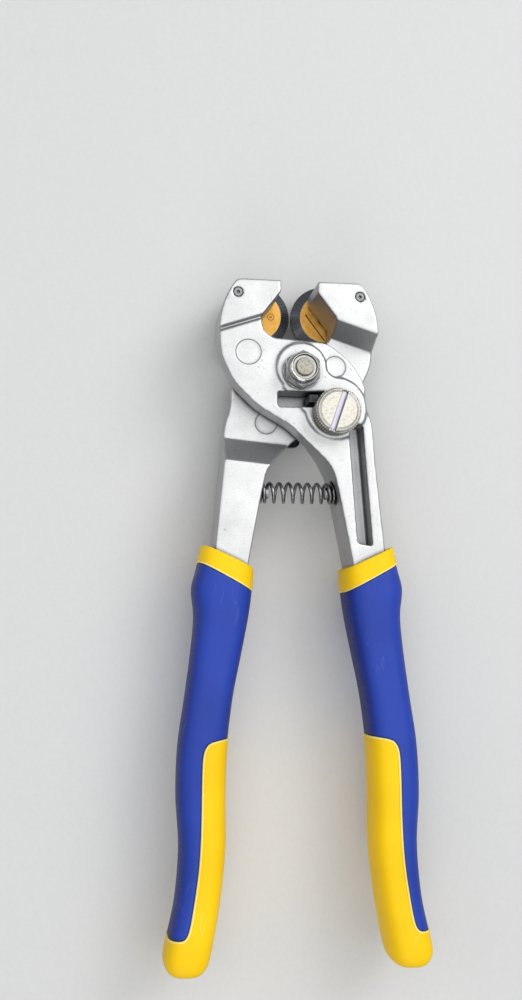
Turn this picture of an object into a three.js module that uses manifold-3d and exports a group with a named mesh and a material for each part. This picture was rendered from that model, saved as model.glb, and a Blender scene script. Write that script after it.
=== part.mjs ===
// Tile nippers: two lapped die-cast levers on one pivot bolt, a cutting wheel on the front of each jaw,
// a sliding depth guide between the wheels and a three-position thickness lock turned by a knurled knob.
// Millimetres. +Y runs from the handles to the jaws, +Z from the wheel side to the knob side.
// The origin is the centre of the pivot bolt's outer end face. The pose is the rest pose.
import * as THREE from 'three';
import { mergeVertices } from 'three/addons/utils/BufferGeometryUtils.js';
import { ConvexGeometry } from 'three/addons/geometries/ConvexGeometry.js';
import Module from 'manifold-3d';

const wasm = await Module();
wasm.setup();

// ---- driving dimensions ----
const THICK = 18;                       // full thickness of a lever
const LAP_GAP = 0.3;                    // gap between the two lapped plates
const LAP = THICK / 2 + LAP_GAP / 2;    // underside of lever A's plate
const FIT = 0.15;                       // gap round a fixed piece
const RUN = 0.07;                       // radial clearance of a running fit
const SKIN = 0.2;                       // gap between a sleeve and what it covers

const HEAD_TOP = 32;                    // pivot to the jaws' top edge
const HEAD_HALF = 27.6;                 // half the head's width
const JAW_CORNER = [6.35, 28.15];       // upper corner of the opening between the jaws
const JAW_KNEE = [12.85, 19.6];         // lower corner of that opening

const WHEEL_D = 24;
const WHEEL_T = 5;
const WHEEL_FACE_R = 8.9;               // radius of the flat face inside the ground rim
const WHEEL_EDGE_T = 1.2;               // width of the rim at the cutting edge
const WHEEL_GAP = 0.6;                  // gap between the wheels at rest
const WHEEL_Y = 24.4;
const WHEEL_X = WHEEL_D / 2 + WHEEL_GAP / 2;
const WHEEL_Z = -0.4 - WHEEL_T;         // front face of a wheel
const SHOULDER_R = 2.3;                 // wheel screw's bearing shoulder
const WHEEL_THREAD_R = 1.9;

const BOLT_R = 3;
const BOLT_AF = 10;                     // across the flats of the pivot bolt's head
const BOLT_HEAD_T = 4;
const BUSH_R = 4.6;
const BOSS_T = 1;                       // height of the raised boss on lever A
const NUT_AF = 11;
const NUT_T = 4.4;
const NUT_COLLAR_R = 5.1;
const NUT_COLLAR_T = 2.4;

const KNOB = [11.6, -14];             // axis of the thickness lock
const KNOB_R = 7.8;
const KNOB_T = 6.4;
const KNOB_SLOT = 2.2;
const KNOB_SLOT_TURN = -19;             // degrees from the tool's length
const LOCK_SHAFT_R = 3;
const CAM_STEPS = [5.2, 4.6, 4.0];      // the lock cam's three radii
const CAM_T = 5;

const SLOT = { x0: -7.6, x1: 8.4, y0: -11.8, y1: -6.6 };
const STOP_LUG = { w: 3.3, h: 2.8, x: 4.7, y: -8.7 };
const OPEN_LIMIT = 19;                  // degrees lever B swings open from rest

const JAW_PIN = [21.1, 27.3];
const JAW_PIN_R = 1.5;

const SPRING_Y = -40;
const SPRING_Z = THICK / 2;
const SPRING_SEAT = 13.8;               // distance of each spring seat from the tool's middle
const SPRING_R = 3.15;                  // radius of the coil's centre line
const SPRING_WIRE = 0.6;
const SPRING_TURNS = 8;

const GUIDE_Y = -14.5;                  // clamp screw of the depth guide
const GUIDE_W = 8;
const GUIDE_T = 2;
const GUIDE_Z = -7.2;                   // outer face of the guide bar
const GUIDE_UP = 3;                     // travel towards the jaws
const GUIDE_DOWN = 4;
const GUIDE_NOSE = 13.5;                // end of the guide's stop at rest
const GUIDE_SCREW_R = 1.95;

// A handle's outline: distance from the pivot, inner edge, outer edge, thickness beyond the lever's.
const HANDLE = [
  [-56, 14.4, 32.2, 4], [-66, 15, 34.3, 4.5], [-73, 15.4, 35.9, 4.5], [-82, 16.6, 35.1, 3.5],
  [-94, 18.9, 36.1, 2.5], [-108, 21.7, 37.9, 2], [-124, 23.6, 40.1, 2], [-140, 24.2, 40.6, 2],
  [-156, 24.2, 39.6, 2], [-172, 25.8, 40.7, 2], [-184, 27.8, 43.1, 2], [-190, 29, 44.2, 1.5],
  [-193, 30.1, 43.5, 0], [-194.7, 31.7, 42.1, -2.5], [-195.4, 33.6, 40.2, -6],
];
// Shank and tang inside the handle: distance from the pivot, inner edge, outer edge.
const SHANK = [[-58, 16.4, 28.5], [-66, 17.8, 29.1], [-80, 20.4, 30.2]];
const TANG = [[-79, 21.4, 29.6], [-100, 25.5, 33.6], [-118, 31, 37.2], [-126, 34.2, 38], [-160, 34.2, 37.8]];
const TANG_Z = [THICK / 2 - 4, THICK / 2 + 4];
// Edges of the collar and of the inner pad, seen along Z.
const COLLAR_TOP = [[10, -68.6], [44, -53]];
const COLLAR_BOTTOM = [[10, -76.5], [44, -58.1]];
const PAD_EDGE = [
  [15, -121], [28.8, -122], [31.5, -124], [32.3, -129], [32.4, -149], [33, -161],
  [34.4, -171], [35.9, -180], [37.3, -183.1], [40, -183.9], [50, -183.5],
];

// ---- shape helpers ----
function toManifold(geometry) {
  let g = geometry.clone();
  g.deleteAttribute('normal');
  g.deleteAttribute('uv');
  g = mergeVertices(g, 1e-4);
  const mesh = new wasm.Mesh({
    numProp: 3,
    vertProperties: new Float32Array(g.attributes.position.array),
    triVerts: new Uint32Array(g.index.array),
  });
  mesh.merge();
  return new wasm.Manifold(mesh);
}

function toGeometry(manifold) {
  const mesh = manifold.getMesh();
  const g = new THREE.BufferGeometry();
  g.setAttribute('position', new THREE.BufferAttribute(new Float32Array(mesh.vertProperties), 3));
  g.setIndex(new THREE.BufferAttribute(new Uint32Array(mesh.triVerts), 1));
  return g;
}

// Closed outline whose points may carry a corner radius as a third number.
function outline(points) {
  const shape = new THREE.Shape();
  points.forEach((p, i) => {
    const here = new THREE.Vector2(p[0], p[1]);
    const before = new THREE.Vector2(...points.at(i - 1).slice(0, 2));
    const after = new THREE.Vector2(...points[(i + 1) % points.length].slice(0, 2));
    const r = p[2] ?? 0;
    const a = here.clone().add(before.sub(here).setLength(r || 1e-9));
    const b = here.clone().add(after.sub(here).setLength(r || 1e-9));
    if (i === 0) {
      shape.moveTo(a.x, a.y);
    } else {
      shape.lineTo(a.x, a.y);
    }
    if (r > 0) {
      shape.quadraticCurveTo(here.x, here.y, b.x, b.y);
    }
  });
  shape.closePath();
  return shape;
}

function prism(points, z0, z1) {
  const g = new THREE.ExtrudeGeometry(outline(points), {
    depth: z1 - z0,
    bevelEnabled: false,
    curveSegments: 5,
  });
  g.translate(0, 0, z0);
  return toManifold(g);
}

function box(x0, x1, y0, y1, z0, z1) {
  const g = new THREE.BoxGeometry(x1 - x0, y1 - y0, z1 - z0);
  g.translate((x0 + x1) / 2, (y0 + y1) / 2, (z0 + z1) / 2);
  return toManifold(g);
}

function disc(x, y, r, z0, z1, segments = 32) {
  const g = new THREE.CylinderGeometry(r, r, z1 - z0, segments);
  g.rotateX(Math.PI / 2);
  g.translate(x, y, (z0 + z1) / 2);
  return toManifold(g);
}

function hexagon(x, y, acrossFlats, z0, z1) {
  return disc(x, y, acrossFlats / Math.sqrt(3), z0, z1, 6);
}

function rodX(x0, x1, y, z, r, segments = 24) {
  const g = new THREE.CylinderGeometry(r, r, x1 - x0, segments);
  g.rotateZ(Math.PI / 2);
  g.translate((x0 + x1) / 2, y, z);
  return toManifold(g);
}

function ring(x, y, rIn, rOut, z0, z1, segments = 32) {
  return disc(x, y, rOut, z0, z1, segments).subtract(disc(x, y, rIn, z0 - 1, z1 + 1, segments));
}

// Prism whose sides follow rows of [y, inner x, outer x], let out by grow all round.
function ribbon(rows, grow, z0, z1) {
  const first = rows[0][0] + grow;
  const last = rows.at(-1)[0] - grow;
  const ys = rows.map((row) => row[0]);
  ys[0] = first;
  ys[ys.length - 1] = last;
  const inner = rows.map((row, i) => [row[1] - grow, ys[i]]);
  const outer = rows.map((row, i) => [row[2] + grow, ys[i]]);
  return prism([...inner, ...outer.reverse()], z0 - grow, z1 + grow);
}

function mirrored(manifold) {
  return manifold.mirror([1, 0, 0]);
}

// Lever B is the lever A casting turned over about the tool's length.
function turnedOver(manifold) {
  return manifold.rotate([0, 180, 0]).translate([0, 0, THICK]);
}

// ---- the casting both levers start from: left jaw, lapped plate, right shank ----
const shankPocket = prism([
  [16.7, -17.4, 0.8], [21.4, -17.4, 0.8], [24.4, -58.4, 0.8], [19.4, -57.6, 0.8],
], THICK - 7.5, THICK + 2);

function leverBlank() {
  const body = prism([
    [-JAW_CORNER[0], HEAD_TOP, 0.8],
    [-JAW_CORNER[0], JAW_CORNER[1]],
    [-JAW_KNEE[0], JAW_KNEE[1], 0.6],
    [-13.1, 17],
    [-12.3, 14, 1.4],
    [-9.3, 11.8, 1.5],
    [9.6, 10.6, 3],
    [17.5, 4.3, 3],
    [22.5, -3.4, 3],
    [22.5, -10.5, 3],
    [24.8, -17, 3],
    [25.8, -31, 3],
    ...SHANK.map((row) => [row[2], row[0]]),
    ...SHANK.toReversed().map((row) => [row[1], row[0]]),
    [13, -40.3, 3],
    [11.4, -33.5, 2],
    [8.8, -29.7, 2],
    [-3.5, -18, 3],
    [-14.8, -11.5, 3],
    [-22.9, -3.5, 3],
    [-27, 5.5, 3],
    [-HEAD_HALF, 15, 3],
    [-26.8, 21.5, 3],
    [-24.7, 27, 2.5],
    [-21.6, HEAD_TOP, 1.8],
  ], 0, THICK);
  const tang = ribbon(TANG, 0, ...TANG_Z);
  // The other lever's plate lies below the lap, between a ramp at the jaw and a ramp at the shank.
  const lap = new ConvexGeometry([
    new THREE.Vector3(-45, 9.3, -1), new THREE.Vector3(45, 38.1, -1),
    new THREE.Vector3(-45, 4.4, LAP), new THREE.Vector3(45, 33.2, LAP),
    new THREE.Vector3(-45, -38.2, -1), new THREE.Vector3(45, -29.2, -1),
    new THREE.Vector3(-45, -28.4, LAP), new THREE.Vector3(45, -19.4, LAP),
  ]);
  const jawGroove = new ConvexGeometry([
    new THREE.Vector3(-12, 17.94, THICK + 1), new THREE.Vector3(-30, 11.84, THICK + 1),
    new THREE.Vector3(-12, 20.96, THICK + 1), new THREE.Vector3(-30, 14.86, THICK + 1),
    new THREE.Vector3(-12, 19.45, THICK - 1.7), new THREE.Vector3(-30, 13.35, THICK - 1.7),
  ]);
  const springSeat = rodX(8, SPRING_SEAT, SPRING_Y, SPRING_Z, SPRING_R + SPRING_WIRE + 0.5);
  const pegHole = rodX(8, SPRING_SEAT + 4.4, SPRING_Y, SPRING_Z, 1.8 + FIT, 20);
  const pad = disc(-17.6, 6.6, 4.3, THICK - 0.2, THICK + 1);
  return body
    .add(tang)
    .subtract(toManifold(lap))
    .subtract(toManifold(jawGroove))
    .subtract(shankPocket)
    .subtract(springSeat)
    .subtract(pegHole)
    .subtract(pad);
}

const blank = leverBlank();
const wheelHoleA = disc(-WHEEL_X, WHEEL_Y, WHEEL_THREAD_R + 0.1, -1, 9.5, 20);
const pinHoleA = disc(-JAW_PIN[0], JAW_PIN[1], JAW_PIN_R + FIT, THICK - 9, THICK + 1, 20);

// ---- lever A: raised boss, stop slot, lock bore ----
const boss = disc(0.4, 1.6, 8.5, THICK - 1, THICK + BOSS_T, 48)
  .add(disc(12.1, -12, 10.5, THICK - 1, THICK + BOSS_T, 56))
  .add(prism([[-5.9, -5.2], [6.5, 7], [8.3, 2.2, 1], [9.9, -0.4, 1], [12.2, -1.7, 1], [15, -4], [15, -14],
    [1.6, -13.8]], THICK - 1, THICK + BOSS_T));
const leverA = blank
  .add(boss)
  .subtract(disc(0, 0, BUSH_R + FIT, 0, THICK + 3, 40))
  .subtract(disc(...KNOB, LOCK_SHAFT_R + RUN, 0, THICK + 3))
  .subtract(box(SLOT.x0, SLOT.x1, SLOT.y0, SLOT.y1, 0, THICK + 3))
  .subtract(disc(12, 2.3, 3.7, THICK - 0.2, THICK + 0.02, 32))
  .subtract(shankPocket)
  .subtract(wheelHoleA)
  .subtract(pinHoleA);

// ---- lever B: guide seat on the front, stop lug hole, notch that the lock cam turns in ----
const camSweep = [-1.5, 3, 7.5, 12, OPEN_LIMIT + 0.5].map((turn) => {
  const a = THREE.MathUtils.degToRad(turn);
  const x = KNOB[0] * Math.cos(a) - KNOB[1] * Math.sin(a);
  const y = KNOB[0] * Math.sin(a) + KNOB[1] * Math.cos(a);
  return disc(x, y, CAM_STEPS[0] + 0.5, -1, LAP);
});
const guideSeat = box(-GUIDE_W / 2 - 1.8, GUIDE_W / 2 + 1.8, GUIDE_Y - 3.2, GUIDE_Y + 3.2, GUIDE_Z + 0.4, 1);
const guideChannel = box(
  -GUIDE_W / 2 - FIT, GUIDE_W / 2 + FIT, GUIDE_Y - 9, GUIDE_Y + 9, GUIDE_Z - 1, GUIDE_Z + GUIDE_T + FIT,
);
let leverB = turnedOver(blank)
  .add(guideSeat)
  .subtract(guideChannel)
  .subtract(disc(0, 0, BUSH_R + RUN, -1, THICK, 40))
  .subtract(disc(0, GUIDE_Y, GUIDE_SCREW_R + 0.1, -8, 6.4, 20))
  .subtract(disc(STOP_LUG.x, STOP_LUG.y, 1.1 + FIT, 4.4, THICK, 16))
  .subtract(disc(-10.3, -15.9, 3.8, THICK - LAP - 0.2, THICK, 28))
  .subtract(mirrored(wheelHoleA))
  .subtract(mirrored(pinHoleA));
for (const step of camSweep) {
  leverB = leverB.subtract(step);
}

// ---- pivot ----
const nutBase = THICK + BOSS_T + 0.9;
const boltEnd = nutBase + NUT_T + NUT_COLLAR_T + 0.8;
const pivotBolt = hexagon(0, 0, BOLT_AF, -BOLT_HEAD_T - 0.4, -0.4)
  .add(disc(0, 0, BOLT_R, -0.5, boltEnd, 28));
const pivotBush = ring(0, 0, BOLT_R + FIT, BUSH_R, 0, THICK + BOSS_T - 0.3, 40);
const nutWasher = ring(0, 0, BOLT_R + 0.2, 6.2, THICK + BOSS_T + 0.1, nutBase - 0.1);
const pivotNut = hexagon(0, 0, NUT_AF, nutBase, nutBase + NUT_T)
  .add(disc(0, 0, NUT_COLLAR_R, nutBase + NUT_T - 0.5, nutBase + NUT_T + NUT_COLLAR_T))
  .subtract(disc(0, 0, BOLT_R + FIT, 0, 60, 28))
  .subtract(disc(0, 0, 4.1, nutBase + NUT_T + 0.4, 60, 28));
const nutInsert = ring(0, 0, BOLT_R + FIT, 4.1 - FIT, nutBase + NUT_T + 0.55, nutBase + NUT_T + 1.7, 28);

// ---- cutting wheels on shoulder screws ----
function cuttingWheel() {
  const rim = (WHEEL_T - WHEEL_EDGE_T) / 2;
  const bore = SHOULDER_R + RUN;
  const profile = [
    [bore, 0], [WHEEL_FACE_R, 0], [WHEEL_D / 2, rim], [WHEEL_D / 2, WHEEL_T - rim],
    [WHEEL_FACE_R, WHEEL_T], [bore, WHEEL_T], [bore, 0],
  ].map((p) => new THREE.Vector2(...p));
  const g = new THREE.LatheGeometry(profile, 56);
  g.rotateX(Math.PI / 2);
  g.translate(-WHEEL_X, WHEEL_Y, WHEEL_Z);
  return toManifold(g);
}

function wheelScrew() {
  const head = WHEEL_Z - 0.9;
  return disc(-WHEEL_X, WHEEL_Y, 4.6, head - 2.6, head)
    .add(disc(-WHEEL_X, WHEEL_Y, SHOULDER_R, head - 0.2, -0.15, 28))
    .add(disc(-WHEEL_X, WHEEL_Y, WHEEL_THREAD_R, -0.3, 9, 20))
    .subtract(hexagon(-WHEEL_X, WHEEL_Y, 3, head - 3, head - 0.9));
}

const wheel = cuttingWheel();
const screw = wheelScrew();
const washer = ring(-WHEEL_X, WHEEL_Y, SHOULDER_R + FIT, 5.2, WHEEL_Z - 0.7, WHEEL_Z - 0.2);
const jawPin = disc(-JAW_PIN[0], JAW_PIN[1], JAW_PIN_R, THICK - 8.5, THICK - 0.3, 20)
  .subtract(disc(-JAW_PIN[0], JAW_PIN[1], 0.55, THICK - 1.5, THICK, 12));

// ---- thickness lock ----
const knobBase = THICK + BOSS_T + 0.9;
const knobSlot = box(-KNOB_R - 1, KNOB_R + 1, -KNOB_SLOT / 2, KNOB_SLOT / 2, knobBase + KNOB_T - 1.4, 60)
  .rotate([0, 0, 90 + KNOB_SLOT_TURN])
  .translate([...KNOB, 0]);
const camZ = LAP - 0.35 - CAM_T;
const lockKnob = disc(...KNOB, KNOB_R, knobBase, knobBase + KNOB_T, 48)
  .add(disc(...KNOB, LOCK_SHAFT_R, 0.8, knobBase + 0.5))
  .subtract(ring(...KNOB, LOCK_SHAFT_R - 0.5, LOCK_SHAFT_R + 1, camZ - 1.3, camZ - 0.3))
  .subtract(knobSlot);
const knobWasher = ring(...KNOB, LOCK_SHAFT_R + 0.25, 6.4, THICK + BOSS_T + 0.2, knobBase - 0.2);

// Cam with three steps, each reaching over a third of a turn.
function camPoints() {
  const points = [];
  CAM_STEPS.forEach((radius, step) => {
    for (let i = 0; i <= 6; i += 1) {
      const a = THREE.MathUtils.degToRad(120 * step + 18 * i + 6);
      points.push([KNOB[0] + radius * Math.cos(a), KNOB[1] + radius * Math.sin(a)]);
    }
  });
  return points;
}
const lockCam = prism(camPoints(), camZ, camZ + CAM_T)
  .subtract(disc(...KNOB, LOCK_SHAFT_R + 0.1, camZ - 1, camZ + CAM_T + 1));
const clipGap = box(KNOB[0] - 1.6, KNOB[0] + 1.6, KNOB[1] - 8, KNOB[1], camZ - 2, camZ);
const lockClip = ring(...KNOB, LOCK_SHAFT_R - 0.4, LOCK_SHAFT_R + 1.9, camZ - 1.2, camZ - 0.4)
  .subtract(clipGap);

const stopLug = box(
  STOP_LUG.x - STOP_LUG.w / 2, STOP_LUG.x + STOP_LUG.w / 2,
  STOP_LUG.y - STOP_LUG.h / 2, STOP_LUG.y + STOP_LUG.h / 2,
  THICK - LAP + 0.15, THICK - 0.4,
).add(disc(STOP_LUG.x, STOP_LUG.y, 1.1, 4.8, THICK - LAP + 0.3, 16));

// ---- return spring on two pegs ----
class Coil extends THREE.Curve {
  getPoint(t) {
    const half = SPRING_SEAT - SPRING_WIRE - 0.3;
    const a = 2 * Math.PI * SPRING_TURNS * t;
    return new THREE.Vector3(
      -half + 2 * half * t,
      SPRING_Y + SPRING_R * Math.cos(a),
      SPRING_Z + SPRING_R * Math.sin(a),
    );
  }
}
const wire = new THREE.Shape();
wire.absarc(0, 0, SPRING_WIRE, 0, 2 * Math.PI, false);
const returnSpring = toManifold(new THREE.ExtrudeGeometry(wire, {
  steps: SPRING_TURNS * 16,
  extrudePath: new Coil(),
  curveSegments: 3,
  bevelEnabled: false,
}));
const springPeg = rodX(SPRING_SEAT - 4, SPRING_SEAT - 0.15, SPRING_Y, SPRING_Z, 2.2, 20)
  .add(rodX(SPRING_SEAT - 0.3, SPRING_SEAT + 4, SPRING_Y, SPRING_Z, 1.8, 20));

// ---- depth guide on lever B ----
const guideSlot = disc(0, GUIDE_Y + GUIDE_DOWN + 0.2, GUIDE_SCREW_R + 0.25, -20, 0, 20)
  .add(disc(0, GUIDE_Y - GUIDE_UP - 0.2, GUIDE_SCREW_R + 0.25, -20, 0, 20))
  .add(box(-GUIDE_SCREW_R - 0.25, GUIDE_SCREW_R + 0.25,
    GUIDE_Y - GUIDE_UP - 0.2, GUIDE_Y + GUIDE_DOWN + 0.2, -20, 0));
const depthGuide = prism([
  [-GUIDE_W / 2, -21.8, 2.5], [GUIDE_W / 2, -21.8, 2.5], [GUIDE_W / 2, 8], [2.2, 11],
  [2.2, GUIDE_NOSE], [-2.2, GUIDE_NOSE], [-2.2, 11], [-GUIDE_W / 2, 8],
], GUIDE_Z, GUIDE_Z + GUIDE_T)
  .add(box(-2.2, 2.2, GUIDE_NOSE - 3, GUIDE_NOSE, GUIDE_Z, -0.6))
  .subtract(guideSlot);
const guideWasher = ring(0, GUIDE_Y, GUIDE_SCREW_R + FIT, 4.2, GUIDE_Z - 0.7, GUIDE_Z - 0.2);
const guideScrew = disc(0, GUIDE_Y, 4.8, GUIDE_Z - 4.3, GUIDE_Z - 0.9)
  .add(disc(0, GUIDE_Y, GUIDE_SCREW_R, GUIDE_Z - 1, 5.8, 20))
  .subtract(box(-6, 6, GUIDE_Y - 0.6, GUIDE_Y + 0.6, GUIDE_Z - 5, GUIDE_Z - 3.3));

// ---- handle: one rounded body cut into collar, grip and pad ----
function handleBody() {
  const sides = 20;
  const rows = HANDLE.map(([y, inner, outer, extra]) => {
    const row = [];
    for (let i = 0; i < sides; i += 1) {
      const a = (2 * Math.PI * (i + 0.5)) / sides;
      const c = Math.sign(Math.cos(a)) * Math.abs(Math.cos(a)) ** 0.62;
      const s = Math.sign(Math.sin(a)) * Math.abs(Math.sin(a)) ** 0.62;
      row.push([(inner + outer) / 2 + ((outer - inner) / 2) * c, y, ((THICK + extra) / 2) * s + THICK / 2]);
    }
    return row;
  });
  const positions = rows.flat(2);
  const index = [];
  for (let r = 0; r < rows.length - 1; r += 1) {
    for (let i = 0; i < sides; i += 1) {
      const a = r * sides + i;
      const b = r * sides + ((i + 1) % sides);
      index.push(a, b, b + sides, a, b + sides, a + sides);
    }
  }
  const lastRow = (rows.length - 1) * sides;
  for (let i = 1; i < sides - 1; i += 1) {
    index.push(0, i + 1, i);
    index.push(lastRow, lastRow + i, lastRow + i + 1);
  }
  const g = new THREE.BufferGeometry();
  g.setAttribute('position', new THREE.Float32BufferAttribute(positions, 3));
  g.setIndex(index);
  return toManifold(g);
}

const core = ribbon(SHANK, SKIN, 0, THICK).add(ribbon(TANG, SKIN, ...TANG_Z));
const coreMouth = ribbon([[-50, 14.9, 28.1], [-58.2, 16.4, 28.5]], SKIN, 0, THICK);
const handle = handleBody().subtract(core).subtract(coreMouth);
const collarZone = prism([...COLLAR_TOP, ...COLLAR_BOTTOM.toReversed()], -5, THICK + 5);
const padZone = prism([...PAD_EDGE, [50, -210], [15, -210]], -5, THICK + 5);
const belowCollar = prism([
  ...COLLAR_BOTTOM.map(([x, y]) => [x, y - SKIN]), [60, -61], [60, -220], [5, -220],
], -5, THICK + 5);
const padGap = prism([
  ...PAD_EDGE.map(([x, y]) => [x + SKIN, y + SKIN]), [50, -210], [15, -210],
], -5, THICK + 5);
const collar = handle.intersect(collarZone);
const gripPad = handle.intersect(padZone);
const grip = handle.intersect(belowCollar).subtract(padGap);

// ---- named pieces ----
const metal = { metalness: 0.9, roughness: 0.4 };
const group = new THREE.Group();
function add(name, manifold, color, look = {}) {
  const geometry = toGeometry(manifold.translate([0, 0, -boltEnd]));
  const mesh = new THREE.Mesh(geometry, new THREE.MeshStandardMaterial({ color, ...look }));
  mesh.name = name;
  group.add(mesh);
}

add('lever_a', leverA, 0xc9ccce, metal);
add('lever_b', leverB, 0xbfc2c5, metal);
add('jaw_set_screw_a', jawPin, 0x55585b, metal);
add('jaw_set_screw_b', mirrored(jawPin), 0x55585b, metal);
add('pivot_bolt', pivotBolt, 0x8d9094, metal);
add('pivot_bush', pivotBush, 0xa98b54, metal);
add('nut_washer', nutWasher, 0x9fa3a6, metal);
add('pivot_nut', pivotNut, 0x83868a, metal);
add('nut_insert', nutInsert, 0xe6e6e0, { roughness: 0.6 });
add('cutting_wheel_a', wheel, 0xc8963c, metal);
add('cutting_wheel_b', mirrored(wheel), 0xc8963c, metal);
add('wheel_screw_a', screw, 0x2e3033, metal);
add('wheel_screw_b', mirrored(screw), 0x2e3033, metal);
add('wheel_washer_a', washer, 0x9fa3a6, metal);
add('wheel_washer_b', mirrored(washer), 0x9fa3a6, metal);
add('lock_knob', lockKnob, 0xd4d5d6, metal);
add('knob_washer', knobWasher, 0x9fa3a6, metal);
add('lock_cam', lockCam, 0x6a6d70, metal);
add('lock_clip', lockClip, 0x3a3c3f, metal);
add('stop_lug', stopLug, 0x3f4245, metal);
add('return_spring', returnSpring, 0x4a4d50, metal);
add('spring_peg_a', springPeg, 0x777a7d, metal);
add('spring_peg_b', mirrored(springPeg), 0x777a7d, metal);
add('depth_guide', depthGuide, 0x2b2d30, metal);
add('guide_washer', guideWasher, 0x9fa3a6, metal);
add('guide_screw', guideScrew, 0x9a9da0, metal);
add('grip_collar_a', collar, 0xf2c81a, { roughness: 0.6 });
add('grip_collar_b', mirrored(collar), 0xf2c81a, { roughness: 0.6 });
add('grip_a', grip, 0x1b2f9c, { roughness: 0.65 });
add('grip_b', mirrored(grip), 0x1b2f9c, { roughness: 0.65 });
add('grip_pad_a', gripPad, 0xf8d818, { roughness: 0.6 });
add('grip_pad_b', mirrored(gripPad), 0xf8d818, { roughness: 0.6 });

export default group;
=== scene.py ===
"""Tile nippers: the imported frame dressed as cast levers, coated wheels and two-colour rubber grips."""
import math

import bmesh
import bpy
from bpy.props import FloatProperty, FloatVectorProperty, IntProperty, PointerProperty
from mathutils import Matrix, Vector


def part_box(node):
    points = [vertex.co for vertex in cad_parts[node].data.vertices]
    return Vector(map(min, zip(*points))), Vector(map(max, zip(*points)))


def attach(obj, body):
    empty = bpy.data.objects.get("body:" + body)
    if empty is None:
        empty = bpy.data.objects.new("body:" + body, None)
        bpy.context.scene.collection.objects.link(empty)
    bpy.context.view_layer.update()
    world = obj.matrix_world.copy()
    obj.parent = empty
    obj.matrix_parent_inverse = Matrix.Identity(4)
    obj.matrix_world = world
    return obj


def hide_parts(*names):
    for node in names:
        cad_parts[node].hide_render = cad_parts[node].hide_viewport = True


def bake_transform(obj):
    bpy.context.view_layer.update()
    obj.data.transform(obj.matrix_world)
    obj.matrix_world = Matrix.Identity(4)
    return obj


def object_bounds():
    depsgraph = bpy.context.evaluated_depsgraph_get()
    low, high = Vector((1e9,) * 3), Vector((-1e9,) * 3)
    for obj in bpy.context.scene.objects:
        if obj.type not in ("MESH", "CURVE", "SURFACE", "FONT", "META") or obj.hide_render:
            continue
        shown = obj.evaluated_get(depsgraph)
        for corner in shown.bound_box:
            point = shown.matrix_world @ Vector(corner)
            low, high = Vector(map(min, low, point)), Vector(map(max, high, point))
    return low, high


bl_info = {
    "name": "Tile Nippers",
    "version": (1, 0, 0),
    "blender": (4, 5, 0),
    "location": "View3D > Sidebar > Nippers",
    "description": "Builds hand nippers for glass tile with cutting wheels, a lock and rubber grips",
    "category": "Object",
}

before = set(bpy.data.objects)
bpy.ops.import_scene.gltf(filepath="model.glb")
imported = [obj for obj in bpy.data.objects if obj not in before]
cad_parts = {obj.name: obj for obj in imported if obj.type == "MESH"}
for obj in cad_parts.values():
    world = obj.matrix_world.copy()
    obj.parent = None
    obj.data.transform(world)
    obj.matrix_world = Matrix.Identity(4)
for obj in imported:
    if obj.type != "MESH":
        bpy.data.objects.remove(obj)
CAD_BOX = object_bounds()

MM = 0.001
LEVER_T = 18 * MM
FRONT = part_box("lever_a")[0].z          # wheel-side face of the levers
BACK = FRONT + LEVER_T                  # knob-side face
MIDDLE = FRONT + LEVER_T / 2

WHEEL_A = Vector((-12.3, 24.4, 0)) * MM
WHEEL_B = Vector((12.3, 24.4, 0)) * MM
KNOB = Vector((11.6, -14, 0)) * MM
GUIDE_SCREW = Vector((0, -14.5, 0)) * MM
PIVOT = Vector((0, 0, 0))
BODY_A = "lever_a_body"
BODY_B = "lever_b_body"

# Sizes in millimetres, with heights counted from the levers' wheel-side face.
LEVER_TOP = 18
LAP_TOP = 8.85                          # face of lever B's lapped plate
NUT_FLATS = 11
COATING_R = 8.8                         # edge of a wheel's coated face
KNOB_R = 7.8
KNOB_SLOT_TURN = 71                     # degrees from +X
KNOB_SLOT_HALF = 1.1                    # half the slot's width
KNOB_SLOT_FLOOR = 24.9
SPRING_Y = -40
SPRING_R = 3.15
SPRING_REACH = 13                       # middle of the tool to each end of the spring
SPRING_CLOSED = 1.25                    # closed turns at each end

# Edge radii, in metres.
WASHER_EDGE = 0.00012
PIN_EDGE = 0.00015
LUG_EDGE = 0.0002
SCREW_EDGE = 0.0003
BOLT_EDGE = 0.0004
PEG_EDGE = 0.0005

# Handle outline: distance from the pivot, inner edge, outer edge, thickness, all in millimetres.
HANDLE = (
    (-56, 14.4, 32.2, 22), (-66, 15, 34.3, 22.5), (-73, 15.4, 35.9, 22.5), (-82, 16.6, 35.1, 21.5),
    (-94, 18.9, 36.1, 20.5), (-108, 21.7, 37.9, 20), (-124, 23.6, 40.1, 20), (-140, 24.2, 40.6, 20),
    (-156, 24.2, 39.6, 20), (-172, 25.8, 40.7, 20), (-184, 27.8, 43.1, 20), (-190, 29, 44.2, 19.5),
    (-193, 30.1, 43.5, 18), (-194.7, 31.7, 42.1, 15.5), (-195.35, 33.6, 40.2, 12),
)
COLLAR_TOP = ((10, -68.6), (44, -53))
COLLAR_BOTTOM = ((10, -76.5), (44, -58.1))
PAD_EDGE = (
    (15, -121), (28.8, -122), (31.5, -124), (32.3, -129), (32.4, -149), (33, -161),
    (34.4, -171), (35.9, -180), (37.3, -183.1), (40, -183.9), (50, -183.5),
)
HANDLE_SIDES = 72
ROUNDNESS = 3.0                         # exponent of the handle's rounded-rectangle section
GRID_TURN = math.radians(37)            # turn of a solid while its skin is remeshed
CORNER = 32                             # degrees between two faces above which their edge is sharp
AWAY = 0.01                             # reach of a cutting prism past what it cuts, in metres
PROUD = -0.06                           # surface of the pads and collars, from the handle outline

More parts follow.
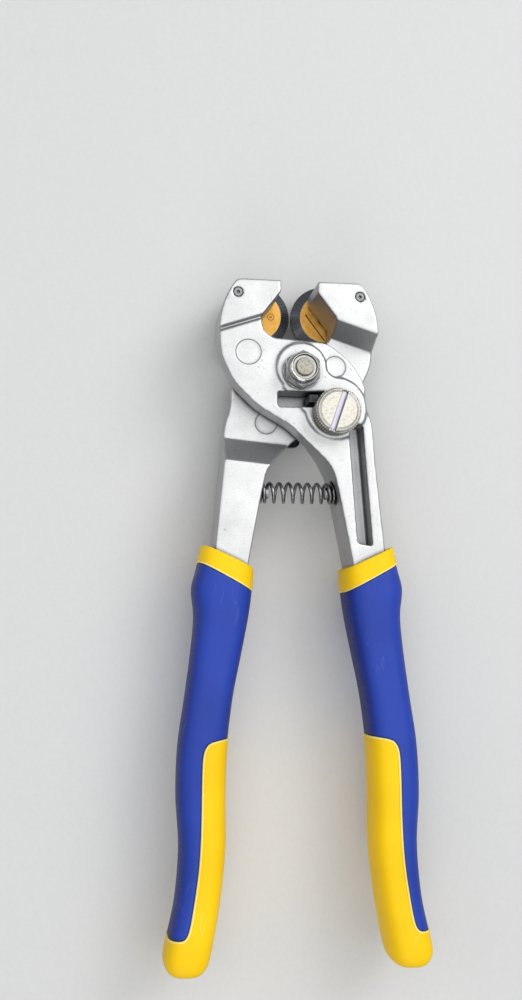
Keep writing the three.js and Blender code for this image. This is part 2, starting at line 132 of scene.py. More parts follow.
# Name, place, size, and power as a share of the key light.
LIGHTS = (
    ("top_light", (0.1, 0.05, 1.0), 1.7, 1.0),
    ("side_light", (0.6, 0.45, 0.7), 0.6, 0.32),
    ("fill_light", (-0.7, 0.1, 0.5), 0.6, 0.08),
    ("ramp_light", (-0.15, -1.0, 0.6), 0.7, 0.22),
)


# ---------------------------------------------------------------- materials
class Surface:
    """A material's node tree, with short ways to add textures to it."""

    def __init__(self, name, color, metallic=0.0, roughness=0.5, **sockets):
        self.material = bpy.data.materials.new(name)
        self.material.use_nodes = True
        self.tree = self.material.node_tree
        self.shader = self.tree.nodes["Principled BSDF"]
        self.set("Base Color", (*color, 1))
        self.set("Metallic", metallic)
        self.set("Roughness", roughness)
        for key, value in sockets.items():
            self.set(key.replace("_", " "), value)
        self.coords = self.tree.nodes.new("ShaderNodeTexCoord").outputs["Object"]
        self.bump_from = None
        self.material.diffuse_color = (*color, 1)

    def set(self, socket, value):
        self.shader.inputs[socket].default_value = value

    def node(self, kind, **values):
        node = self.tree.nodes.new(kind)
        for key, value in values.items():
            setattr(node, key, value)
        return node

    def join(self, out, into):
        self.tree.links.new(out, into)

    def placed(self, centre=(0, 0, 0), scale=(1, 1, 1)):
        mapping = self.node("ShaderNodeMapping")
        mapping.inputs["Location"].default_value = [-c * s for c, s in zip(centre, scale)]
        mapping.inputs["Scale"].default_value = scale
        self.join(self.coords, mapping.inputs["Vector"])
        return mapping.outputs["Vector"]

    def noise(self, scale, detail=3.0, rough=0.55, vector=None):
        noise = self.node("ShaderNodeTexNoise")
        noise.inputs["Scale"].default_value = scale
        noise.inputs["Detail"].default_value = detail
        noise.inputs["Roughness"].default_value = rough
        self.join(vector or self.coords, noise.inputs["Vector"])
        return noise.outputs["Fac"]

    def ramp(self, fac, *stops):
        ramp = self.node("ShaderNodeValToRGB")
        elements = ramp.color_ramp.elements
        while len(elements) < len(stops):
            elements.new(0.5)
        for element, (place, color) in zip(elements, stops):
            element.position = place
            element.color = (*color, 1) if len(color) == 3 else color
        self.join(fac, ramp.inputs["Fac"])
        return ramp.outputs["Color"]

    def grey(self, fac, low, high, start=0.35, end=0.65):
        mapped = self.node("ShaderNodeMapRange")
        mapped.inputs["From Min"].default_value = start
        mapped.inputs["From Max"].default_value = end
        mapped.inputs["To Min"].default_value = low
        mapped.inputs["To Max"].default_value = high
        self.join(fac, mapped.inputs["Value"])
        return mapped.outputs["Result"]

    def mix(self, fac, a, b, blend="MIX"):
        mix = self.node("ShaderNodeMix", data_type="RGBA", blend_type=blend)
        for value, socket in ((fac, mix.inputs[0]), (a, mix.inputs[6]), (b, mix.inputs[7])):
            if isinstance(value, bpy.types.NodeSocket):
                self.join(value, socket)
            elif isinstance(value, (int, float)):
                socket.default_value = value
            else:
                socket.default_value = (*value, 1)
        return mix.outputs[2]

    def maths(self, operation, a, b=None):
        node = self.node("ShaderNodeMath", operation=operation)
        for value, socket in zip((a, b), node.inputs):
            if isinstance(value, bpy.types.NodeSocket):
                self.join(value, socket)
            elif value is not None:
                socket.default_value = value
        return node.outputs["Value"]

    def color(self, out):
        self.join(out, self.shader.inputs["Base Color"])

    def roughness(self, out):
        self.join(out, self.shader.inputs["Roughness"])

    def bump(self, height, distance, strength=1.0):
        bump = self.node("ShaderNodeBump")
        bump.inputs["Distance"].default_value = distance
        bump.inputs["Strength"].default_value = strength
        self.join(height, bump.inputs["Height"])
        if self.bump_from:
            self.join(self.bump_from, bump.inputs["Normal"])
        self.bump_from = bump.outputs["Normal"]
        self.join(self.bump_from, self.shader.inputs["Normal"])

    def crevices(self, distance, low=0.45, high=0.95):
        """0 deep in a corner, 1 out in the open."""
        shelter = self.node("ShaderNodeAmbientOcclusion", samples=8)
        shelter.inputs["Distance"].default_value = distance
        return self.grey(shelter.outputs["AO"], 0.0, 1.0, low, high)

    def facing(self, low, high):
        """1 on faces square to the tool's thickness, 0 on its side walls."""
        split = self.node("ShaderNodeSeparateXYZ")
        self.join(self.coords.node.outputs["Normal"], split.inputs["Vector"])
        return self.grey(self.maths("ABSOLUTE", split.outputs["Z"]), 0.0, 1.0, low, high)

    def turned(self, centre):
        """Distance from and angle round an axis along Z, for lathe and grinding marks."""
        split = self.node("ShaderNodeSeparateXYZ")
        self.join(self.placed(centre), split.inputs["Vector"])
        x, y = split.outputs["X"], split.outputs["Y"]
        square = self.maths("ADD", self.maths("MULTIPLY", x, x), self.maths("MULTIPLY", y, y))
        return self.maths("SQRT", square), self.maths("ARCTAN2", y, x)

    def stripes(self, value, scale, detail=2.0):
        noise = self.node("ShaderNodeTexNoise", noise_dimensions="1D")
        noise.inputs["Scale"].default_value = scale
        noise.inputs["Detail"].default_value = detail
        self.join(value, noise.inputs["W"])
        return noise.outputs["Fac"]


def shade(color, share):
    return [c * share for c in color]


def cast_alloy(name, tone):
    """Die-cast alloy: bright linished faces, painted shade on the side walls and in the recesses, and
    deeper painted shade in the corners.
    """
    s = Surface(name, tone, 0.9, 0.4)
    grain = s.noise(2300, 2.0)
    cloud = s.noise(75, 4.0, 0.6)
    pits = s.ramp(s.noise(900, 2.0), (0.25, (0.45, 0.45, 0.45)), (0.33, (1, 1, 1)))
    lit = [min(1, c * 1.1) for c in tone]
    patches = s.ramp(cloud, (0.3, shade(tone, 0.86)), (0.55, tone), (0.75, lit))
    speckle = s.ramp(grain, (0.34, (0.72, 0.72, 0.72)), (0.5, (0.9, 0.9, 0.9)), (0.66, (1, 1, 1)))
    skin = s.mix(0.7, s.mix(0.6, patches, speckle, "MULTIPLY"), pits, "MULTIPLY")
    # Painted shade: side walls, picked out by their normal, are darkened as if turned away from the
    # light.
    painted_wall_shade = s.mix(1.0, skin, (0.8, 0.8, 0.816), "MULTIPLY")
    faced = s.mix(s.facing(0.72, 0.97), painted_wall_shade, skin)
    # Painted shade: recesses within about 9 mm of other surfaces are darkened.
    dim = s.mix(1.0, faced, (0.68, 0.68, 0.7), "MULTIPLY")
    shaded = s.mix(s.crevices(0.009, 0.1, 0.75), dim, faced)
    # Painted shade: the tightest corners and creases, within about 1.6 mm, are darkened further.
    crevice_shade = s.mix(1.0, shaded, (0.25, 0.25, 0.26), "MULTIPLY")
    s.color(s.mix(s.crevices(0.0016), crevice_shade, shaded))
    s.roughness(s.grey(grain, 0.34, 0.5))
    s.bump(s.noise(260, 3.0), 0.00006, 0.5)
    s.bump(grain, 0.00003, 0.7)
    return s.material


def plated_steel(name, tone, rough=0.28, crevice_shade=0.0016):
    s = Surface(name, tone, 1.0, rough)
    fine = s.noise(900, 3.0)
    stain = s.noise(140, 4.0)
    bare = s.ramp(stain, (0.3, shade(tone, 0.72)), (0.62, tone))
    # Painted shade: surfaces close to other surfaces, within the crevice reach, are darkened to a tenth
    # of the tone.
    s.color(s.mix(s.crevices(crevice_shade), shade(tone, 0.1), bare))
    s.roughness(s.grey(fine, rough - 0.07, rough + 0.12))
    s.bump(fine, 0.00002, 0.5)
    return s.material


def turned_metal(name, tone, centre, rough=0.3, rings=5200, dust=0.4):
    """Lathe-turned metal: fine rings round the axis, with dull specks."""
    s = Surface(name, tone, 0.95, rough)
    radius, _ = s.turned(centre)
    lines = s.stripes(radius, rings)
    specks = s.noise(950, 4.0, 0.75)
    dull = s.ramp(specks, (0.38, shade(tone, 1 - dust)), (0.5, shade(tone, 0.92)), (0.6, tone))
    warm = s.noise(210, 2.0)
    tinted = s.mix(s.grey(warm, 0.0, 0.3), dull, [t * w for t, w in zip(tone, (0.95, 0.84, 0.6))])
    # Painted shade: crevices within 0.9 mm are darkened to a fifth of the tone.
    s.color(s.mix(s.crevices(0.0009), shade(tone, 0.2), tinted))
    s.roughness(s.grey(specks, rough - 0.05, rough + 0.2))
    s.bump(lines, 0.00003, 0.5)
    return s.material


def gold_coating(name, tone, centre):
    """Coated wheel face: cloudy gold over fine turned rings."""
    s = Surface(name, tone, 0.8, 0.42)
    radius, _ = s.turned(centre)
    worn = s.noise(420, 4.0, 0.65)
    deep = [tone[0] * 0.8, tone[1] * 0.68, tone[2] * 0.55]
    pale = [min(1, tone[0] * 1.1), min(1, tone[1] * 1.12), tone[2] * 1.3]
    s.color(s.ramp(worn, (0.32, deep), (0.52, tone), (0.72, pale)))
    s.roughness(s.grey(worn, 0.34, 0.52))
    s.bump(s.stripes(radius, 4200), 0.00002, 0.5)
    s.bump(s.noise(1800, 2.0), 0.000015, 0.5)
    return s.material


def ground_rim(name, tone, centre):
    """Cutting rim with grinding marks that run out from the axis."""
    s = Surface(name, tone, 1.0, 0.26)
    _, angle = s.turned(centre)
    marks = s.stripes(angle, 46, 4.0)
    s.color(s.ramp(marks, (0.3, shade(tone, 0.6)), (0.65, tone)))
    s.roughness(s.grey(marks, 0.2, 0.4))
    s.bump(marks, 0.00003, 0.6)
    return s.material


def black_oxide(name):
    """Blackened steel, worn a little in places."""
    s = Surface(name, (0.035, 0.037, 0.04), 0.75, 0.36)
    wear = s.noise(600, 4.0, 0.6)
    s.color(s.ramp(
        wear, (0.4, (0.025, 0.026, 0.028)), (0.66, (0.06, 0.062, 0.066)), (0.78, (0.2, 0.2, 0.2))))
    s.roughness(s.grey(wear, 0.28, 0.48))
    s.bump(s.noise(2400, 2.0), 0.00001, 0.5)
    return s.material


def soft_rubber(name, tone, cloudy, scuff, gloss=0.24, flank_shade=(1.0, 1.0, 1.0)):
    """Satin rubber: fine moulded skin, faint cloudiness, painted shade on the flanks and a few pale
    scuffs.
    """
    s = Surface(name, tone, 0.0, 0.46, Specular_IOR_Level=gloss)
    cloud = s.noise(38, 3.0)
    skin = s.noise(1700, 2.0)
    base = s.ramp(cloud, (0.28, cloudy), (0.6, tone))
    # Painted shade: faces turned sideways, picked out by their normal, are darkened towards the flank
    # colour.
    base = s.mix(s.facing(0.1, 0.8), s.mix(1.0, base, flank_shade, "MULTIPLY"), base)
    slanted = s.placed((0, 0, 0), (260, 34, 180))
    scratch = s.noise(1.0, 2.0, 0.4, slanted)
    lines = s.ramp(scratch, (0.485, (0, 0, 0)), (0.497, (1, 1, 1)), (0.509, (0, 0, 0)))
    gate = s.ramp(s.noise(46, 2.0), (0.58, (0, 0, 0)), (0.7, (1, 1, 1)))
    scuffs = s.maths("MULTIPLY", s.maths("MULTIPLY", lines, gate), 0.22)
    s.color(s.mix(scuffs, base, scuff))
    s.roughness(s.grey(skin, 0.4, 0.56))
    s.bump(s.noise(520, 2.0), 0.00004, 0.35)
    s.bump(skin, 0.00003, 0.6)
    return s.material


def plain_plastic(name, tone, rough, evenness=0.86):
    s = Surface(name, tone, 0.0, rough)
    speck = s.noise(900, 3.0)
    s.color(s.ramp(speck, (0.35, shade(tone, evenness)), (0.6, tone)))
    s.roughness(s.grey(speck, rough - 0.08, rough + 0.1))
    s.bump(speck, 0.00002, 0.4)
    return s.material


# ---------------------------------------------------------------- mesh helpers
def place(name, mesh, *materials):
    obj = bpy.data.objects.new(name, mesh)
    bpy.context.scene.collection.objects.link(obj)
    mesh.materials.clear()
    for material in materials:
        mesh.materials.append(material)
    return obj


def from_bmesh(name, bm, *materials, outward=True):
    if outward:
        bmesh.ops.recalc_face_normals(bm, faces=bm.faces)
    mesh = bpy.data.meshes.new(name)
    bm.to_mesh(mesh)
    bm.free()
    return place(name, mesh, *materials)


def baked(obj):
    """The object with its modifiers made part of a plain mesh."""
    bpy.context.view_layer.update()
    graph = bpy.context.evaluated_depsgraph_get()
    mesh = bpy.data.meshes.new_from_object(
        obj.evaluated_get(graph), preserve_all_data_layers=False, depsgraph=graph)
    name = obj.name
    obj.name = name + "_source"
    bpy.data.objects.remove(obj, do_unlink=True)
    result = bpy.data.objects.new(name, mesh)
    bpy.context.scene.collection.objects.link(result)
    mesh.name = name
    return result


def repaint(obj, *materials):
    obj.data.materials.clear()
    for material in materials:
        obj.data.materials.append(material)


def shade_smooth(obj, on=True):
    for face in obj.data.polygons:
        face.use_smooth = on


def flat_faces_stay_flat(obj, angle=CORNER):
    """Smooth shading that keeps sharp edges sharp and large flat faces flat."""
    shade_smooth(obj)
    obj.data.set_sharp_from_angle(angle=math.radians(angle))
    weighted = obj.modifiers.new("weighted", "WEIGHTED_NORMAL")
    weighted.keep_sharp = True
    return obj


def merged_copy(node):
    """A CAD piece's mesh with its corners joined up."""
    bm = bmesh.new()
    bm.from_mesh(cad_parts[node].data)
    bmesh.ops.remove_doubles(bm, verts=bm.verts, dist=2e-6)
    return bm


def softened(node, width, material, body, slot):
    """Shows a CAD piece on its body with its sharp edges rounded off."""
    bm = merged_copy(node)
    bmesh.ops.dissolve_limit(bm, angle_limit=math.radians(1.0), verts=bm.verts, edges=bm.edges)
    obj = from_bmesh(node + "_finish", bm, material, outward=False)
    bevel = obj.modifiers.new("edges", "BEVEL")
    bevel.width = width
    bevel.segments = 2
    bevel.limit_method = "ANGLE"
    bevel.angle_limit = math.radians(CORNER)
    ride(flat_faces_stay_flat(baked(obj)), body, slot, node)


def cast_skin(obj, voxel, rounds):
    """Remeshes a solid finely and relaxes it, so every edge gets a small cast radius.

    The solid is turned meanwhile, so that no long edge runs nearly along the grid and comes out
    stepped.
    """
    obj.data.transform(Matrix.Rotation(GRID_TURN, 4, "Z"))
    remesh = obj.modifiers.new("skin", "REMESH")
    remesh.mode = "VOXEL"
    remesh.voxel_size = voxel
    relax = obj.modifiers.new("relax", "SMOOTH")
    relax.factor = 0.5
    relax.iterations = rounds
    obj = baked(obj)
    obj.data.transform(Matrix.Rotation(-GRID_TURN, 4, "Z"))
    shade_smooth(obj)
    return obj


def prism(name, points, z0, z1, *materials):
    """An outline in millimetres raised from one height to another, in metres."""
    bm = bmesh.new()
    low = [bm.verts.new((x * MM, y * MM, z0)) for x, y in points]
    high = [bm.verts.new((x * MM, y * MM, z1)) for x, y in points]
    bm.faces.new(low)
    bm.faces.new(high)
    for i in range(len(points)):
        j = (i + 1) % len(points)
        bm.faces.new((low[i], low[j], high[j], high[i]))
    return from_bmesh(name, bm, *materials)


def lathe(name, profile, centre, *materials, segments=96):
    """Turns a closed profile of (radius, height) pairs, in millimetres above the front face."""
    bm = bmesh.new()
    rings = []
    for radius, height in profile:
        z = FRONT + height * MM
        if radius == 0:
            rings.append([bm.verts.new((centre.x, centre.y, z))])
            continue
        ring = []
        for i in range(segments):
            a = 2 * math.pi * i / segments
            ring.append(bm.verts.new((
                centre.x + radius * MM * math.cos(a), centre.y + radius * MM * math.sin(a), z)))
        rings.append(ring)
    pairs = list(zip(rings, rings[1:]))
    if len(rings[0]) > 1:
        pairs.append((rings[-1], rings[0]))
    for low, high in pairs:
        for i in range(segments):
            j = (i + 1) % segments
            corners = [low[i % len(low)], low[j % len(low)], high[j % len(high)], high[i % len(high)]]
            corners = list(dict.fromkeys(corners))
            if len(corners) > 2:
                bm.faces.new(corners)
    return from_bmesh(name, bm, *materials)


def slab(points, side):
    """A prism right through the tool, for cutting a handle."""
    return prism("zone", [(side * x, y) for x, y in points], FRONT - AWAY, BACK + AWAY)


def cut(obj, tool, operation="DIFFERENCE"):
    modifier = obj.modifiers.new("cut", "BOOLEAN")
    modifier.operation = operation
    modifier.solver = "EXACT"
    modifier.object = tool
    obj = baked(obj)
    bpy.data.objects.remove(tool, do_unlink=True)
    return obj


def ride(obj, body, slot, *nodes):
    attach(obj, body)
    if nodes:
        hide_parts(*nodes)
    return obj


def ring_points(x, y, radius, height, count):
    """Points round a circle, from sizes in millimetres."""
    points = []
    for i in range(count):
        a = 2 * math.pi * i / count
        points.append(Vector((x + radius * math.cos(a), y + radius * math.sin(a), 0)) * MM
                      + Vector((0, 0, FRONT + height * MM)))
    return points


# ---------------------------------------------------------------- geometry node trees
def node_tree(name, **inputs):
    """A new group with its own inputs, and the sockets of its two end nodes."""
    tree = bpy.data.node_groups.new(name, "GeometryNodeTree")
    tree.interface.new_socket(name="Geometry", in_out="INPUT", socket_type="NodeSocketGeometry")
    kinds = {float: "NodeSocketFloat", int: "NodeSocketInt", bpy.types.Material: "NodeSocketMaterial"}
    for label, kind in inputs.items():
        tree.interface.new_socket(name=label.replace("_", " "), in_out="INPUT", socket_type=kinds[kind])
    tree.interface.new_socket(name="Geometry", in_out="OUTPUT", socket_type="NodeSocketGeometry")
    return tree, tree.nodes.new("NodeGroupInput").outputs, tree.nodes.new("NodeGroupOutput").inputs


def finish_tree(tree, geometry, material, out):
    """Paints what a group has made and sends it out."""
    realize = tree.nodes.new("GeometryNodeRealizeInstances")
    shade = tree.nodes.new("GeometryNodeSetShadeSmooth")
    paint = tree.nodes.new("GeometryNodeSetMaterial")
    tree.links.new(geometry, shade.inputs["Geometry"])
    tree.links.new(shade.outputs["Geometry"], realize.inputs["Geometry"])
    tree.links.new(realize.outputs["Geometry"], paint.inputs["Geometry"])
    tree.links.new(material, paint.inputs["Material"])
    tree.links.new(paint.outputs["Geometry"], out["Geometry"])


def grow(obj, tree, **values):
    """Runs a group on an object and keeps the mesh it makes."""
    modifier = obj.modifiers.new("grow", "NODES")
    modifier.node_group = tree
    for item in tree.interface.items_tree:
        key = item.name.replace(" ", "_")
        if item.item_type == "SOCKET" and item.in_out == "INPUT" and key in values:
            modifier[item.identifier] = values[key]
    return baked(obj)


def round_bar_tree():
    """Sweeps a round bar along the edges it is given."""
    tree, given, out = node_tree(
        "Round Bar", Bar_Radius=float, Step=float, Sides=int, Material=bpy.types.Material)
    to_curve = tree.nodes.new("GeometryNodeMeshToCurve")
    spaced = tree.nodes.new("GeometryNodeResampleCurve")
    spaced.mode = "LENGTH"
    section = tree.nodes.new("GeometryNodeCurvePrimitiveCircle")
    sweep = tree.nodes.new("GeometryNodeCurveToMesh")
    sweep.inputs["Fill Caps"].default_value = True
    join = tree.links.new
    join(given["Geometry"], to_curve.inputs["Mesh"])
    join(to_curve.outputs["Curve"], spaced.inputs["Curve"])
    join(given["Step"], spaced.inputs["Length"])
    join(given["Bar Radius"], section.inputs["Radius"])
    join(given["Sides"], section.inputs["Resolution"])
    join(spaced.outputs["Curve"], sweep.inputs["Curve"])
    join(section.outputs["Curve"], sweep.inputs["Profile Curve"])
    finish_tree(tree, sweep.outputs["Mesh"], given["Material"], out)
    return tree


def knurl_tree():
    """Sets a ring of upright V teeth round an axis along Z."""
    tree, given, out = node_tree(
        "Straight Knurl", Teeth=int, Radius=float, Height=float, Tooth=float,
        Centre_X=float, Centre_Y=float, Middle_Z=float, Material=bpy.types.Material)
    join = tree.links.new
    circle = tree.nodes.new("GeometryNodeCurvePrimitiveCircle")
    join(given["Teeth"], circle.inputs["Resolution"])
    join(given["Radius"], circle.inputs["Radius"])
    size = tree.nodes.new("ShaderNodeCombineXYZ")
    join(given["Tooth"], size.inputs["X"])
    join(given["Tooth"], size.inputs["Y"])
    join(given["Height"], size.inputs["Z"])
    tooth = tree.nodes.new("GeometryNodeMeshCube")
    join(size.outputs["Vector"], tooth.inputs["Size"])
    turn = tree.nodes.new("GeometryNodeTransform")
    turn.inputs["Rotation"].default_value = (0, 0, math.radians(45))
    join(tooth.outputs["Mesh"], turn.inputs["Geometry"])
    tangent = tree.nodes.new("GeometryNodeInputTangent")
    align = tree.nodes.new("FunctionNodeAlignRotationToVector")
    align.axis = "X"
    join(tangent.outputs["Tangent"], align.inputs["Vector"])
    instances = tree.nodes.new("GeometryNodeInstanceOnPoints")
    join(circle.outputs["Curve"], instances.inputs["Points"])
    join(turn.outputs["Geometry"], instances.inputs["Instance"])
    join(align.outputs["Rotation"], instances.inputs["Rotation"])
    centre = tree.nodes.new("ShaderNodeCombineXYZ")
    join(given["Centre X"], centre.inputs["X"])
    join(given["Centre Y"], centre.inputs["Y"])
    join(given["Middle Z"], centre.inputs["Z"])
    move = tree.nodes.new("GeometryNodeTransform")
    join(instances.outputs["Instances"], move.inputs["Geometry"])
    join(centre.outputs["Vector"], move.inputs["Translation"])
    finish_tree(tree, move.outputs["Geometry"], given["Material"], out)
    return tree


def path_object(name, points, closed=False):
    mesh = bpy.data.meshes.new(name)
    edges = [(i, i + 1) for i in range(len(points) - 1)]
    if closed:
        edges.append((len(points) - 1, 0))
    mesh.from_pydata(points, edges, [])
    return place(name, mesh)


def round_bar(name, points, radius, step, material, closed=False, sides=10):
    path = path_object(name, points, closed)
    tree = bpy.data.node_groups.get("Round Bar") or round_bar_tree()
    return grow(path, tree, Bar_Radius=radius, Step=step, Sides=sides, Material=material)


def knurl(name, teeth, radius, height, tooth, centre, middle, material):
    tree = bpy.data.node_groups.get("Straight Knurl") or knurl_tree()
    base = place(name, bpy.data.meshes.new(name))
    obj = grow(base, tree, Teeth=teeth, Radius=radius, Height=height, Tooth=tooth,
               Centre_X=centre.x, Centre_Y=centre.y, Middle_Z=middle, Material=material)
    shade_smooth(obj, False)
    return obj


# ---------------------------------------------------------------- handle shape
def handle_at(t):
    """Smoothly interpolated handle row at t from 0 at the top to 1 at the butt."""
    place_in = t * (len(HANDLE) - 1)
    i = min(int(place_in), len(HANDLE) - 2)
    u = place_in - i
    rows = [HANDLE[max(0, min(len(HANDLE) - 1, i + k))] for k in (-1, 0, 1, 2)]
    values = []
    for a, b, c, d in zip(*rows):
        values.append(0.5 * (2 * b + (c - a) * u + (2 * a - 5 * b + 4 * c - d) * u * u
                             + (3 * b - a - 3 * c + d) * u ** 3))
    return values


HANDLE_ROWS = [handle_at(i / 140) for i in range(141)]


def handle_width(y):
    """Inner edge, outer edge and thickness at a distance from the pivot."""
    for a, b in zip(HANDLE_ROWS, HANDLE_ROWS[1:]):
        if a[0] >= y >= b[0]:
            u = (a[0] - y) / max(1e-9, a[0] - b[0])
            return [a[k] + (b[k] - a[k]) * u for k in (1, 2, 3)]
    return list(HANDLE_ROWS[-1][1:])


def handle_solid(name, side, grow_by, *materials):
    """The whole handle as one solid, with its surface moved out by grow_by millimetres."""
    bm = bmesh.new()
    rings = []
    power = 2 / ROUNDNESS
    for y, inner, outer, thick in HANDLE_ROWS:
        ring = []
        for i in range(HANDLE_SIDES):
            a = 2 * math.pi * (i + 0.5) / HANDLE_SIDES
            c = math.copysign(abs(math.cos(a)) ** power, math.cos(a))
            s = math.copysign(abs(math.sin(a)) ** power, math.sin(a))
            x = (inner + outer) / 2 + ((outer - inner) / 2 + grow_by) * c
            z = (thick / 2 + grow_by) * s
            ring.append(bm.verts.new((side * x * MM, y * MM, MIDDLE + z * MM)))
        rings.append(ring)
    for low, high in zip(rings, rings[1:]):
        for i in range(HANDLE_SIDES):
            j = (i + 1) % HANDLE_SIDES
            bm.faces.new((low[i], low[j], high[j], high[i]))
    bm.faces.new(rings[0])
    bm.faces.new(rings[-1])
    return from_bmesh(name, bm, *materials)


def smooth_line(points, rounds=3):
    """Rounds the corners of an open line by cutting them again and again."""
    for _ in range(rounds):
        cut_line = [points[0]]
        for (ax, ay), (bx, by) in zip(points, points[1:]):
            cut_line.append((ax * 0.75 + bx * 0.25, ay * 0.75 + by * 0.25))
            cut_line.append((ax * 0.25 + bx * 0.75, ay * 0.25 + by * 0.75))
        cut_line.append(points[-1])
        points = cut_line
    return points


def surface_loop(edge, side, lift):
    """Closed path round the handle where a flat cut along edge meets its surface."""
    upper = []
    dense = []
    for (ax, ay), (bx, by) in zip(edge, edge[1:]):
        steps = max(2, int(math.hypot(bx - ax, by - ay) / 0.12))
        dense.extend((ax + (bx - ax) * i / steps, ay + (by - ay) * i / steps) for i in range(steps))
    for x, y in dense:
        inner, outer, thick = handle_width(y)
        half = (outer - inner) / 2 + lift
        across = (x - (inner + outer) / 2) / half
        if abs(across) > 1:
            continue
        z = (thick / 2 + lift) * (1 - abs(across) ** ROUNDNESS) ** (1 / ROUNDNESS)
        upper.append(Vector((side * x * MM, y * MM, z * MM)))
    ring = upper + [Vector((p.x, p.y, -p.z)) for p in reversed(upper)]
    return [p + Vector((0, 0, MIDDLE)) for p in ring]


# ---------------------------------------------------------------- settings
def paint(name, description, default):
    return FloatVectorProperty(
        name=name, description=description, subtype="COLOR", size=3, min=0, max=1, default=default)


def length(name, description, default, low, high):
    return FloatProperty(
        name=name, description=description, default=default, min=low, max=high, unit="LENGTH")


class NipperCastingSettings(bpy.types.PropertyGroup):
    tone: paint("Casting Tone", "Colour of the die-cast levers", (0.6, 0.605, 0.6))
    skin: length(
        "Skin Step", "Mesh step of the cast surface, which sets its edge radius", 0.00042, 0.0003, 0.001)
    mark: length(
        "Ejector Mark Line", "Radius of the raised line round each ejector mark",
        0.00013, 0.00005, 0.0005)


class NipperGripSettings(bpy.types.PropertyGroup):
    blue: paint("Grip Colour", "Colour of the grip rubber", (0.019, 0.053, 0.37))
    yellow: paint("Pad Colour", "Colour of the pads and collars", (0.93, 0.6, 0.005))
    pad_rise: length("Pad Rise", "How far the pad stands proud of the grip", 0.00025, 0, 0.001)
    bead: length("Bead Radius", "Radius of the bead round the pad", 0.0004, 0.0001, 0.001)
    skin: length("Skin Step", "Mesh step of the moulded surface", 0.0005, 0.0003, 0.001)


class NipperWheelSettings(bpy.types.PropertyGroup):
    gold: paint("Coating Colour", "Colour of the wheels' coated faces", (0.66, 0.36, 0.075))
    rim: paint("Rim Colour", "Colour of the ground cutting rims", (0.2, 0.21, 0.22))


class NipperKnobSettings(bpy.types.PropertyGroup):
    teeth: IntProperty(
        name="Knurl Teeth", description="Teeth round the lock knob", default=56, min=12, max=160)
    tooth: length(
        "Tooth Size", "Side of a knurl tooth before it is turned on edge", 0.0007, 0.0002, 0.001)
    tone: paint("Knob Colour", "Colour of the turned knob", (0.6, 0.59, 0.55))


class NipperSpringSettings(bpy.types.PropertyGroup):
    turns: IntProperty(
        name="Turns", description="Open turns of the return spring", default=7, min=3, max=20)
    wire: length("Wire Radius", "Radius of the spring wire", 0.0006, 0.0003, 0.001)


class NipperStageSettings(bpy.types.PropertyGroup):
    floor: paint("Floor Colour", "Colour of the plain floor", (0.62, 0.62, 0.61))
    key: FloatProperty(
        name="Key Light", description="Power of the main soft light", default=10.5, min=0, unit="POWER")


# ---------------------------------------------------------------- pieces
class NIPPERS_OT_castings(bpy.types.Operator):
    """Build the two cast levers with their rounded edges and ejector marks"""
    bl_idname = "nippers.castings"
    bl_label = "Cast Levers"

    def execute(self, context):
        given = context.scene.nipper_casting
        tone = tuple(given.tone)
        metal = cast_alloy("cast_alloy", tone)
        for node, body in (("lever_a", BODY_A), ("lever_b", BODY_B)):
            solid = from_bmesh(node + "_casting", merged_copy(node), metal, outward=False)
            ride(cast_skin(solid, given.skin, 5), body, "cast", node)
        ring_metal = cast_alloy("ejector_mark", tuple(shade(tone, 0.55)))
        marks = (
            ("ejector_mark_wide", BODY_A, -17.6, 6.6, 4.3, LEVER_TOP),
            ("ejector_mark_small", BODY_A, 12, 2.3, 3.7, LEVER_TOP),
            ("ejector_mark_lap", BODY_B, -10.3, -15.9, 3.8, LAP_TOP),
        )
        for name, body, x, y, radius, height in marks:
            points = ring_points(x, y, radius, height - 0.02, 96)
            ring = round_bar(name, points, given.mark, 0.0003, ring_metal, closed=True, sides=8)
            ride(ring, body, "cast")
        return {"FINISHED"}


